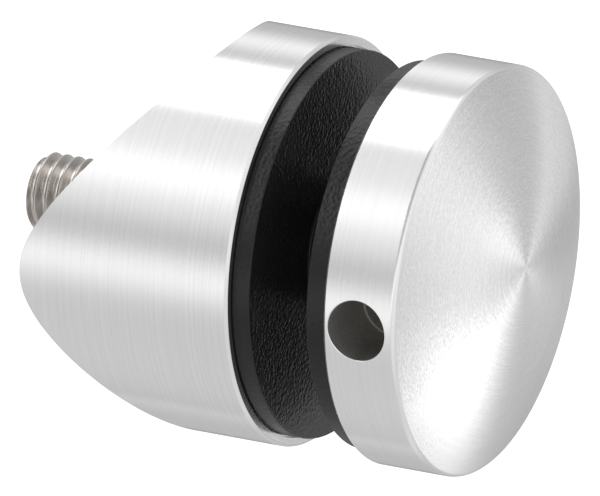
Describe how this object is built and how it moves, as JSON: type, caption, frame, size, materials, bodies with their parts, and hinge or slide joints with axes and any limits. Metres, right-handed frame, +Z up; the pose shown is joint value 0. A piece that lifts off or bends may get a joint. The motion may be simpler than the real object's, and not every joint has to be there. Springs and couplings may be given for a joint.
{
  "type": "glass point fixing",
  "caption": "Round clamp fixing that holds a glass pane off a round tube: saddle-backed disc, rubber gaskets, domed screw cap and a threaded stud through all of it.",
  "frame": {"origin": "on the stud's axis, at the valley of the saddle, where the tube's wall touches the base", "axes": "+Y along the stud out of the saddle and into the tube, -Y towards the cap, +Z up along the tube, -X the side the cap's spanner hole faces"},
  "size_m": [0.04, 0.0523, 0.04],
  "materials": {
    "satin_stainless_base": "satin, brushed round the axis",
    "satin_stainless_cap": "satin, turned in rings on the dome and brushed round the side",
    "black_rubber": "matt, with a fine leather-like grain",
    "black_plastic": "matt, moulded",
    "rolled_stainless": "plain rolled thread, slightly warm grey"
  },
  "bodies": {
    "base": {"base_body": "satin_stainless_base", "rear_gasket": "black_rubber", "glass_sleeve": "black_plastic", "threaded_stud": "rolled_stainless"},
    "gasket": {"front_gasket": "black_rubber"},
    "cap": {"cap": "satin_stainless_cap"}
  },
  "joints": [
    {"name": "cap_travel", "type": "slide", "parent": "base", "child": "gasket", "axis": [0, -1, 0], "range_m": [0, 0.00875]},
    {"name": "cap_turn", "type": "hinge", "parent": "gasket", "child": "cap", "pos_m": [0, -0.02198, 0], "axis": [0, -1, 0], "range_deg": [0, 2520]}
  ],
  "couplings": [
    {"joint": "cap_travel", "follows": "cap_turn", "m_per_rad": 0.00019894}
  ]
}
